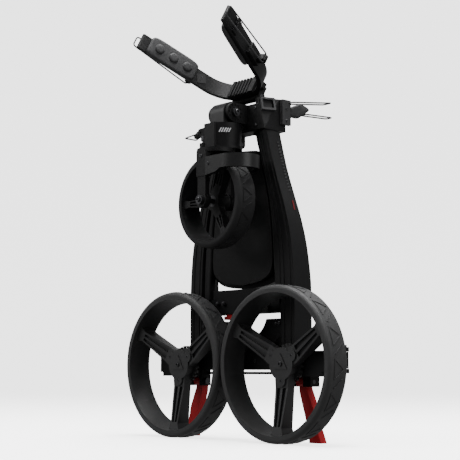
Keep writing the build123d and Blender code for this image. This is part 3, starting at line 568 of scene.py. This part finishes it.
def rings_mesh(name, rings, tip, foot):
    """Closed skin through rings of points, with a point at each end."""
    shape = bmesh.new()
    made = [[shape.verts.new(p) for p in ring] for ring in rings]
    count = len(made[0])
    for one, two in zip(made, made[1:]):
        for n in range(count):
            m = (n + 1) % count
            shape.faces.new((one[n], one[m], two[m], two[n]))
    for point, ring in ((foot, made[0]), (tip, made[-1])):
        end = shape.verts.new(point)
        for n in range(count):
            shape.faces.new((ring[n], ring[(n + 1) % count], end))
    bmesh.ops.recalc_face_normals(shape, faces=shape.faces)
    mesh = bpy.data.meshes.new(name)
    shape.to_mesh(mesh)
    shape.free()
    smooth(mesh, 60)
    return mesh


def crowned_pad(name, put, length, width, thick):
    """A pad with round corners, rolled edges and a crown; put places (along, across, height)."""
    squareness = 0.32

    def outline(inset, up):
        """The pad's round-cornered outline, drawn in by an inset, at a height."""
        points = []
        for k in range(72):
            a = tau * k / 72
            c, s = cos(a), sin(a)
            x = (length / 2 - inset) * abs(c) ** squareness * (1 if c > 0 else -1)
            y = (width / 2 - inset) * abs(s) ** squareness * (1 if s > 0 else -1)
            points.append(put(x, y, up))
        return points

    steps = [
        (1.6, 0.0), (0.5, 0.10), (0.0, 0.28), (-0.2, 0.5), (0.2, 0.7), (1.1, 0.86), (2.6, 0.955),
        (5.0, 1.0), (9.0, 1.03), (15.0, 1.06), (20.0, 1.075),
    ]
    rings = [outline(inset, up * thick) for inset, up in steps]
    return rings_mesh(name, rings, put(0, 0, thick * 1.08), put(0, 0, 0))


def dome(name, put, x, y, radius, foot, rise):
    """A low round stud with a soft shoulder."""
    profile = [(1.0, -0.3), (1.0, 0.0), (0.97, 0.35), (0.88, 0.7), (0.72, 0.92), (0.45, 1.0), (0.2, 1.02)]
    rings = []
    for r, up in profile:
        rings.append([
            put(x + radius * r * cos(tau * k / 40), y + radius * r * sin(tau * k / 40), foot + rise * up)
            for k in range(40)
        ])
    return rings_mesh(name, rings, put(x, y, foot + rise * 1.03), put(x, y, foot - rise * 0.3))


def joined(name, meshes):
    """Several meshes as one."""
    shape = bmesh.new()
    for mesh in meshes:
        shape.from_mesh(mesh)
    result = bpy.data.meshes.new(name)
    shape.to_mesh(result)
    shape.free()
    smooth(result, 50)
    return result


PAD_MIDDLE, PAD_LENGTH, PAD_WIDTH, PAD_THICK = 57.5, 111, 46, 9.2
STUD_SPACING, STUD_RADIUS, STUD_RISE = 33, 10.5, 3.6
STUD_FOOT = 9.4
ARM_FACE = 4.6

for label, side in sides_of_cart:
    def put(x, y, up):
        """A point on the pad, in millimetres from its middle and up from the arm's face."""
        return side(on_arm(PAD_MIDDLE + x, -ARM_FACE - up, y))

    parts = [crowned_pad("pad", put, PAD_LENGTH, PAD_WIDTH, PAD_THICK)]
    for x in (-STUD_SPACING, 0, STUD_SPACING):
        parts.append(dome("stud", put, x, 0, STUD_RADIUS, STUD_FOOT, STUD_RISE))
    mesh = joined(f"cradle_pad_{label}", parts)
    pad = add_piece(f"cradle_pad_{label}", mesh, rubber, "upper_cradle")
    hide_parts("cradle_pads")

leaf_outline = [
    (1, 633), (0.5, 641), (2, 649), (12, 654.5), (26, 659), (37, 657.5), (46, 652.5), (47.5, 648.5),
    (41, 642.5), (31, 635.5), (22, 630.5), (10, 631),
]
LEAF_TURN = radians(-17.0)
LEAF_HALF = 6
leaf_root = (80, 119)


def on_leaf(along, up, out):
    """A point of the right lower pad, which spreads outwards to the rear."""
    x, y = out, along - LEAF_HALF
    across = leaf_root[0] + x * cos(LEAF_TURN) - y * sin(LEAF_TURN)
    back = leaf_root[1] + x * sin(LEAF_TURN) + y * cos(LEAF_TURN)
    return at(across, back, up)


def eased(points, steps):
    """A smooth closed line through points."""
    result = []
    count = len(points)
    for n in range(count):
        p0, p1, p2, p3 = (points[(n + k) % count] for k in (-1, 0, 1, 2))
        for k in range(steps):
            t = k / steps
            point = []
            for a, b, c, d in zip(p0, p1, p2, p3):
                bend = (2 * a - 5 * b + 4 * c - d) * t * t
                twist = (3 * b - a - 3 * c + d) * t ** 3
                point.append(0.5 * (2 * b + (c - a) * t + bend + twist))
            result.append(tuple(point))
    return result


def wire_mesh(name, points, radius, turn=10):
    """A closed round wire through points."""
    shape = bmesh.new()
    count = len(points)
    rings = []
    side = None
    for n in range(count):
        along = (points[(n + 1) % count] - points[n - 1]).normalized()
        side = (side or along.orthogonal()).cross(along).cross(along).normalized() * -1
        other = along.cross(side)
        ring = []
        for k in range(turn):
            a = tau * k / turn
            ring.append(shape.verts.new(points[n] + side * radius * cos(a) + other * radius * sin(a)))
        rings.append(ring)
    for n in range(count):
        one, two = rings[n], rings[(n + 1) % count]
        for k in range(turn):
            m = (k + 1) % turn
            shape.faces.new((one[k], one[m], two[m], two[k]))
    bmesh.ops.recalc_face_normals(shape, faces=shape.faces)
    mesh = bpy.data.meshes.new(name)
    shape.to_mesh(mesh)
    shape.free()
    smooth(mesh, 60)
    return mesh


leaf_line = eased(leaf_outline, 5)
leaf_middle = (24.0, 645.0)
leaf_steps = [
    (0.25, 0.0), (0.7, 0.02), (0.9, 0.10), (0.975, 0.25), (1.0, 0.5),
    (0.975, 0.75), (0.9, 0.90), (0.7, 0.98), (0.25, 1.0),
]
# Each hook is a long flat loop of wire; a corner is its middle and the angle where its bend starts.
HOOK_WIRE = 0.0015
HOOK_BEND = 5.5
HOOK_FRONT, HOOK_LENGTH, HOOK_RISE = 30, 77, 4
hook_corners = ((2.5, 101.5, 0), (-2.5, 101.5, 90), (-2.5, 35.5, 180), (2.5, 35.5, 270))
hook_root = (86, 119, 640)
for label, side in sides_of_cart:
    rings = []
    for grow, through in leaf_steps:
        ring = []
        for a, z in leaf_line:
            along = leaf_middle[0] + (a - leaf_middle[0]) * grow
            up = leaf_middle[1] + (z - leaf_middle[1]) * grow
            ring.append(side(on_leaf(along, up, LEAF_HALF * (2 * through - 1))))
        rings.append(ring)
    tip, foot = (side(on_leaf(*leaf_middle, out)) for out in (LEAF_HALF, -LEAF_HALF))
    mesh = rings_mesh(f"lower_pad_{label}", rings, tip, foot)
    pad = add_piece(f"lower_pad_{label}", mesh, rubber, "base")
    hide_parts("lower_pads")
    corners = []
    for x, y, a0 in hook_corners:
        for k in range(7):
            a = radians(a0 + 15 * k)
            px, py = x + HOOK_BEND * cos(a), y + HOOK_BEND * sin(a)
            height = hook_root[2] + HOOK_RISE * (py - HOOK_FRONT) / HOOK_LENGTH
            corners.append(side(at(hook_root[0] + px, hook_root[1] + py, height)))
    mesh = wire_mesh(f"lower_hook_{label}", corners, HOOK_WIRE)
    hook = add_piece(f"lower_hook_{label}", mesh, wire, "base")
    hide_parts("lower_pads")

# ---------------------------------------------------------------- bolts
# Steel socket-head bolts hold the castings, brackets and hub covers together. One head is copied to
# every place, turned to face out of its surface, and grown to that bolt's radius in millimetres.
def copies_tree():
    """Geometry Nodes: puts a shape on points, its Z along each point's aim."""
    tree = bpy.data.node_groups.new("copies_on_points", "GeometryNodeTree")
    face = tree.interface
    face.new_socket("Geometry", in_out="INPUT", socket_type="NodeSocketGeometry")
    face.new_socket("Shape", in_out="INPUT", socket_type="NodeSocketObject")
    face.new_socket("Material", in_out="INPUT", socket_type="NodeSocketMaterial")
    face.new_socket("Geometry", in_out="OUTPUT", socket_type="NodeSocketGeometry")
    new = tree.nodes.new
    start, end = new("NodeGroupInput"), new("NodeGroupOutput")
    shape = new("GeometryNodeObjectInfo")
    aim, size = new("GeometryNodeInputNamedAttribute"), new("GeometryNodeInputNamedAttribute")
    aim.data_type = "FLOAT_VECTOR"
    aim.inputs["Name"].default_value = "aim"
    size.inputs["Name"].default_value = "size"
    face_out, upright = new("FunctionNodeAlignRotationToVector"), new("FunctionNodeAlignRotationToVector")
    face_out.axis = "Z"
    upright.axis = "Y"
    upright.pivot_axis = "Z"
    upright.inputs["Vector"].default_value = (0, 0, 1)
    copies, real = new("GeometryNodeInstanceOnPoints"), new("GeometryNodeRealizeInstances")
    dressed = new("GeometryNodeSetMaterial")
    join = tree.links.new
    join(start.outputs["Shape"], shape.inputs["Object"])
    join(aim.outputs["Attribute"], face_out.inputs["Vector"])
    join(face_out.outputs["Rotation"], upright.inputs["Rotation"])
    join(start.outputs["Geometry"], copies.inputs["Points"])
    join(shape.outputs["Geometry"], copies.inputs["Instance"])
    join(upright.outputs["Rotation"], copies.inputs["Rotation"])
    join(size.outputs["Attribute"], copies.inputs["Scale"])
    join(copies.outputs["Instances"], real.inputs["Geometry"])
    join(real.outputs["Geometry"], dressed.inputs["Geometry"])
    join(start.outputs["Material"], dressed.inputs["Material"])
    join(dressed.outputs["Geometry"], end.inputs["Geometry"])
    return tree


copies_on_points = copies_tree()


HEAD_SIDES = 24
head_profile = [(1.0, -0.3), (1.0, 0.45), (0.88, 0.62), (0.52, 0.62), (0.48, 0.2)]
head = bmesh.new()
head_rings = []
for r, up in head_profile:
    turns = [tau * k / HEAD_SIDES for k in range(HEAD_SIDES)]
    head_rings.append([head.verts.new((r * cos(a) / 1000, r * sin(a) / 1000, up / 1000)) for a in turns])
for one, two in zip(head_rings, head_rings[1:]):
    for k in range(HEAD_SIDES):
        m = (k + 1) % HEAD_SIDES
        head.faces.new((one[k], one[m], two[m], two[k]))
head.faces.new(head_rings[0][::-1])
head.faces.new(head_rings[-1])
head_mesh = bpy.data.meshes.new("bolt_head")
head.to_mesh(head_mesh)
head.free()
smooth(head_mesh, 30)
bolt_head = bpy.data.objects.new("bolt_head", head_mesh)


def scatter(name, places, shape, material, body):
    """Copies a shape to (point, aim, size) places on one body."""
    mesh = bpy.data.meshes.new(name)
    mesh.from_pydata([p for p, _, _ in places], [], [])
    mesh.attributes.new("aim", "FLOAT_VECTOR", "POINT")
    mesh.attributes.new("size", "FLOAT", "POINT")
    aims = [part for _, way, _ in places for part in way]
    mesh.attributes["aim"].data.foreach_set("vector", aims)
    mesh.attributes["size"].data.foreach_set("value", [scale for _, _, scale in places])
    return run_tree(name, mesh, copies_on_points, {"Shape": shape, "Material": material}, body)


FORWARD, RIGHT, LEFT = Vector((0, -1, 0)), Vector((1, 0, 0)), Vector((-1, 0, 0))
HUB_OUT, HUB_BACK, HUB_HEIGHT = 147, 22.5, 145
HUB_BOLT_RING = 0.031
for label, sign in (("right", 1), ("left", -1)):
    hub = at(sign * HUB_OUT, HUB_BACK, HUB_HEIGHT)
    places = []
    for a in [radians(degrees) for degrees in (-90, 30, 150)]:
        spoke_root = hub + Vector((HUB_BOLT_RING * cos(a), 0.0015, HUB_BOLT_RING * sin(a)))
        places.append((spoke_root, FORWARD, 3.0))
    places.append((hub + Vector((0, -0.0015, 0)), FORWARD, 4.6))
    scatter(f"hub_bolts_{label}", places, bolt_head, steel, f"rear_wheel_{label}")

# In each row: how far out, how far back and how high, in millimetres, then the aim and the radius.
base_bolts = []
mast_bolts = []
for s, way in ((-1, LEFT), (1, RIGHT)):
    base_bolts += [(at(s * 34.5, 17.7, 635), way, 5.0)]
    base_bolts += [(at(s * x, 57, 222), FORWARD, 2.8) for x in (100, 108)]
    base_bolts += [(at(s * x, 52, z), FORWARD, 2.6) for x, z in ((52, 611), (50, 646))]
    base_bolts += [(at(s * 227, y, z), way, 3.0) for y in (70, 96) for z in (131, 176)]
    base_bolts += [(at(s * x, 59, 151), FORWARD, 3.0) for x in (40, 205)]
    base_bolts += [(at(s * 84, 105, z), way, 2.4) for z in (622, 646)]
    mast_bolts += [(at(s * x, 57.5, 265), FORWARD, 3.4) for x in (51, 69)]
    mast_bolts += [(at(s * 20, 66, z), FORWARD, 2.8) for z in (612, 644)]
fork_bolts = [
    (at(22, -47, 527), FORWARD, 3.0), (at(0, -52, 459), FORWARD, 4.5), (at(0, -45.5, 545), FORWARD, 3.4),
]
scatter("base_bolts", base_bolts, bolt_head, steel, "base")
scatter("mast_bolts", mast_bolts, bolt_head, steel, "mast")
scatter("fork_bolts", fork_bolts, bolt_head, steel, "fork")

# ---------------------------------------------------------------- marks
# Plain pale bars are printed on the stem's drum, and a grey hatch with a short red bar on the outer
# side of each rail. They are thin raised prints with no lettering.
pale_print = grained(
    "pale_print", (0.55, 0.55, 0.56), (0.62, 0.62, 0.63),
    scale=2000, patch=20, amount=0.4, rough=0.5, spread_by=0.1, bump=0.05,
)
grey_print = grained(
    "grey_print", (0.025, 0.025, 0.026), (0.035, 0.035, 0.036),
    scale=2000, patch=20, amount=0.4, rough=0.5, spread_by=0.1, bump=0.05,
)
red_print = grained(
    "red_print", (0.09, 0.006, 0.008), (0.12, 0.01, 0.012),
    scale=2000, patch=20, amount=0.4, rough=0.5, spread_by=0.1, bump=0.05,
)


def flat_bar(name, wide, tall, thick, lean=0.0):
    """A thin bar to copy, in its own plane, leaning sideways by a share of its height."""
    shape = bmesh.new()
    lower, upper = [], []
    taper = 0.97
    for x, y in ((-1, -1), (1, -1), (1, 1), (-1, 1)):
        px = x * wide / 2 + y * tall / 2 * lean
        lower.append(shape.verts.new((px, y * tall / 2, -thick)))
        upper.append(shape.verts.new((px * taper, y * tall / 2 * taper, thick)))
    shape.faces.new(lower[::-1])
    shape.faces.new(upper)
    for k in range(4):
        m = (k + 1) % 4
        shape.faces.new((lower[k], lower[m], upper[m], upper[k]))
    mesh = bpy.data.meshes.new(name)
    shape.to_mesh(mesh)
    shape.free()
    return bpy.data.objects.new(name, mesh)


DRUM_RADIUS, DRUM_MIDDLE, DRUM_BAR_HEIGHT = 35.64, 13, 597
drum_bar = flat_bar("drum_bar", 0.0024, 0.0085, 0.0003, 0.5)
places = []
for n in range(5):
    a = radians(38 + 7.5 * n)
    spot = at(DRUM_RADIUS * sin(a), DRUM_MIDDLE - DRUM_RADIUS * cos(a), DRUM_BAR_HEIGHT)
    places.append((spot, Vector((sin(a), -cos(a), 0)), 1.0))
scatter("drum_bars", places, drum_bar, pale_print, "stem")

rail_side = [
    (149, 169), (150, 235), (149, 301), (146.5, 340), (141.5, 380), (133, 418), (121, 457), (107, 496),
    (97, 526), (87, 560), (76, 600),
]


def rail_x(z):
    """How far out a rail's flank is at a height."""
    for (x0, z0), (x1, z1) in zip(rail_side, rail_side[1:]):
        if z0 <= z <= z1:
            return x0 + (x1 - x0) * (z - z0) / (z1 - z0)
    return rail_side[-1][0]


rail_dash = flat_bar("rail_dash", 0.0045, 0.0034, 0.00035, 0.6)
rail_bar = flat_bar("rail_bar", 0.004, 0.020, 0.0004)
for material, shape, name, heights in (
    (grey_print, rail_dash, "rail_hatch", [478 + 6.5 * n for n in range(16)]),
    (red_print, rail_bar, "rail_red_bar", [448]),
):
    places = []
    for s in (-1, 1):
        for z in heights:
            lean = (rail_x(z + 4) - rail_x(z - 4)) / 8
            places.append((at(s * (rail_x(z) + 0.5), 82, z), Vector((s, 0, -lean)).normalized(), 1.0))
    scatter(name, places, shape, material, "base")

# Each arm of the yoke has a small square cover with two dots near its root.
COVER_ALONG = -14
square = flat_bar("arm_cover", 0.020, 0.020, 0.0008)
for label, side in sides_of_cart:
    way = side((on_arm(0, -10, 0) - on_arm(0, 0, 0)).normalized())
    cover = [(side(on_arm(COVER_ALONG, -4.6, 0)), way, 1.0)]
    dots = [(side(on_arm(COVER_ALONG, -5.2, wide)), way, 1.5) for wide in (-4, 4)]
    scatter(f"arm_cover_{label}", cover, square, graphite, "upper_cradle")
    scatter(f"arm_dots_{label}", dots, bolt_head, steel, "upper_cradle")

# The shapes that were only copied are not pieces of their own.
for shape in (bolt_head, drum_bar, rail_dash, rail_bar, square):
    bpy.data.objects.remove(shape)
